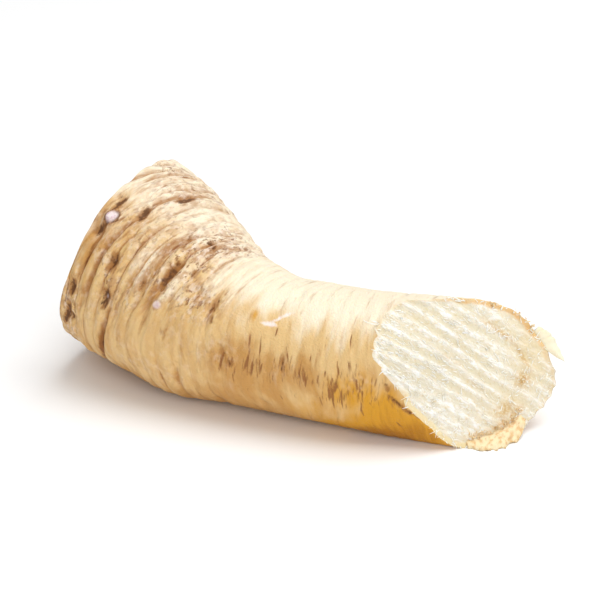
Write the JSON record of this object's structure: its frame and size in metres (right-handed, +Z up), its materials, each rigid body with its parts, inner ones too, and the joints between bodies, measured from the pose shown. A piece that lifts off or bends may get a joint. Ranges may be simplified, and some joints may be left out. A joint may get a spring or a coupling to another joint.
{
  "type": "horseradish root",
  "caption": "Horseradish root lying on its side: thick ringed crown end with leaf scars, slim straight body, and a slanted end grated flat with furrows and torn rind at its rim.",
  "frame": {"origin": "middle of the footprint, on the surface that the root lies on", "axes": "+X from the leaf crown to the grated end, +Y to the back of the root as pictured, +Z up"},
  "size_m": [0.172, 0.0822, 0.0715],
  "materials": {
    "root_skin": "dry, ringed, straw-coloured root skin with brown grooves",
    "grated_flesh": "moist ivory flesh torn into fibres by a grater"
  },
  "bodies": {
    "root": {"horseradish_root": "root_skin"}
  },
  "joints": []
}
